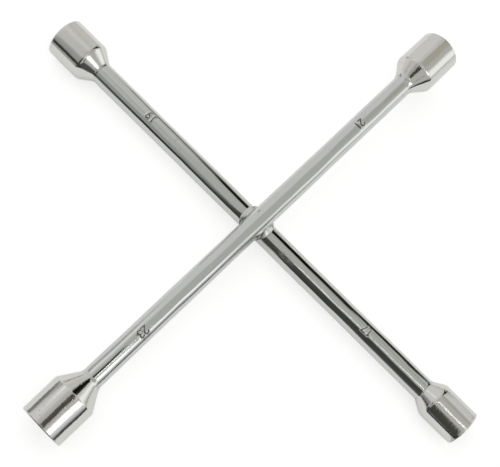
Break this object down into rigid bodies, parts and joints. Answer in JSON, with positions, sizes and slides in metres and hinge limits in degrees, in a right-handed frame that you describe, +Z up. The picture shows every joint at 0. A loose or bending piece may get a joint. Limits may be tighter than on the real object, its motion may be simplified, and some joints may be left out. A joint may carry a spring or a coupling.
{
  "type": "lug wrench",
  "caption": "Cross-shaped lug wrench of round steel bars welded where they cross, with a hex socket of a different size on each end.",
  "frame": {"origin": "under the crossing of the bars, at the height of the lowest socket", "axes": "+Z up, through the crossing; the rear bar lies along X with the 17 mm socket at +X; the front bar passes over it along Y with the 21 mm socket at +Y"},
  "size_m": [0.355, 0.355, 0.0399],
  "materials": {
    "bar_chrome": "polished",
    "socket_chrome": "polished",
    "weld_chrome": "gloss"
  },
  "bodies": {
    "root": {"rear_bar": "bar_chrome", "front_bar": "bar_chrome", "centre_weld": "weld_chrome", "socket_17": "socket_chrome", "socket_19": "socket_chrome", "socket_21": "socket_chrome", "socket_23": "socket_chrome"}
  },
  "joints": []
}
